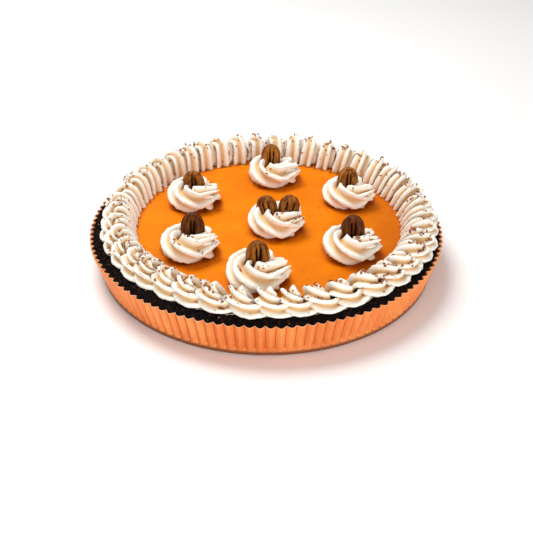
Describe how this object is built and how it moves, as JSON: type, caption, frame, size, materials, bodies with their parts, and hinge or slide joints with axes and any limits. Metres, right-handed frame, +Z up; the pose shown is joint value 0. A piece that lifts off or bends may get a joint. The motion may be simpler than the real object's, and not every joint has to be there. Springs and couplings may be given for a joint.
{
  "type": "pumpkin pie",
  "caption": "Whole pumpkin pie in a fluted copper-coloured tart tin, dark crumb crust, piped cream border and rosettes with upright pecan halves.",
  "frame": {"origin": "centre of the tin's foot, on the surface it stands on", "axes": "+Z up, -Y the front of the pie, +X to its right seen from the front"},
  "size_m": [0.264, 0.264, 0.0586],
  "materials": {
    "tin": "satin copper-coloured metal coating with fine press marks",
    "crust": "coarse, almost black chocolate crumb, matt with a few oily glints",
    "filling": "smooth set custard, soft sheen, faint mottling and tiny brown specks",
    "cream": "soft whipped cream, matt, with fine ragged ridge edges",
    "pecan": "waxy brown nut skin with dark lengthwise grooves",
    "crumb": "scattered chocolate and nut crumbs, matt"
  },
  "bodies": {
    "root": {"tin": "tin", "crust": "crust", "filling": "filling", "cream_border": "cream", "rosette_centre": "cream", "rosette_back": "cream", "rosette_front": "cream", "rosette_left_back": "cream", "rosette_left_front": "cream", "rosette_right_back": "cream", "rosette_right_front": "cream", "pecan_centre_left": "pecan", "pecan_centre_right": "pecan", "pecan_back": "pecan", "pecan_front": "pecan", "pecan_left_back": "pecan", "pecan_left_front": "pecan", "pecan_right_back": "pecan", "pecan_right_front": "pecan"}
  },
  "joints": []
}
